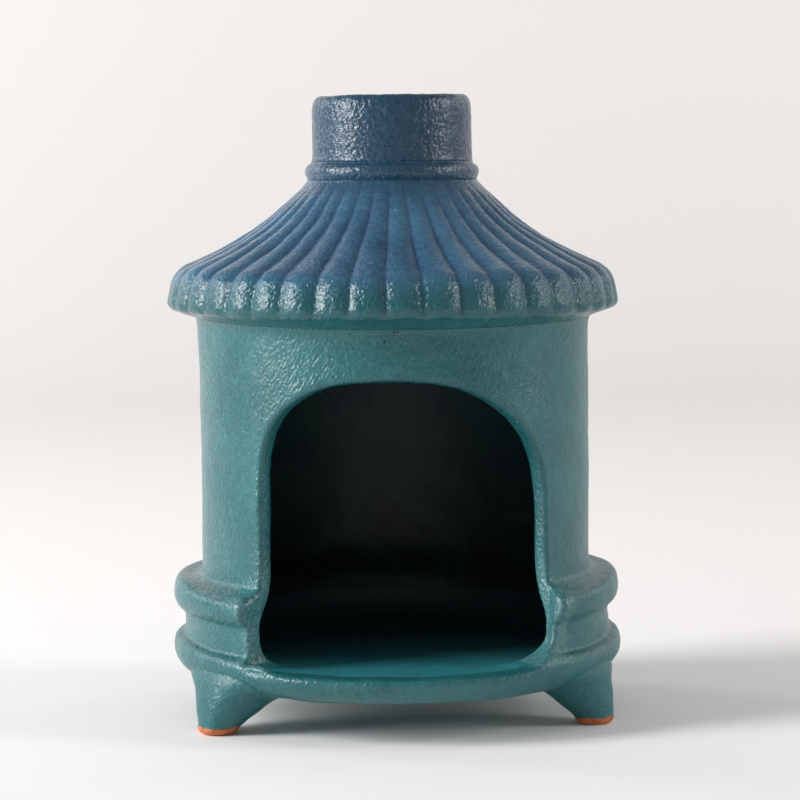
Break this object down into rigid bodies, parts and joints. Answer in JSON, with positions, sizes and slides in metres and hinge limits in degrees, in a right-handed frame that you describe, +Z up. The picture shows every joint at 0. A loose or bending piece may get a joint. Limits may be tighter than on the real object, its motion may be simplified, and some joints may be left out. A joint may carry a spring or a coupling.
{
  "type": "chiminea",
  "caption": "Small glazed ceramic chiminea: drum firebox with an arched doorway, moulded base tray, fluted roof, beaded collar and short open flue on stub feet.",
  "frame": {"origin": "centre of the footprint, on the surface that the feet stand on", "axes": "+Z up along the axis of the drum and flue, doorway facing -Y, +X to the right seen from the doorway side"},
  "size_m": [0.1604, 0.1604, 0.22],
  "materials": {
    "teal_glaze": "satin teal glaze with an orange-peel texture over terracotta",
    "blue_glaze": "satin deep blue glaze, sprayed over and fading into the teal",
    "foot_glaze": "satin teal glaze that stops above an unglazed terracotta pad"
  },
  "bodies": {
    "root": {"base_tray": "teal_glaze", "firebox_drum": "teal_glaze", "roof_cone": "blue_glaze", "chimney_collar": "blue_glaze", "chimney_pipe": "blue_glaze", "front_left_foot": "foot_glaze", "front_right_foot": "foot_glaze", "rear_foot": "foot_glaze"}
  },
  "joints": []
}
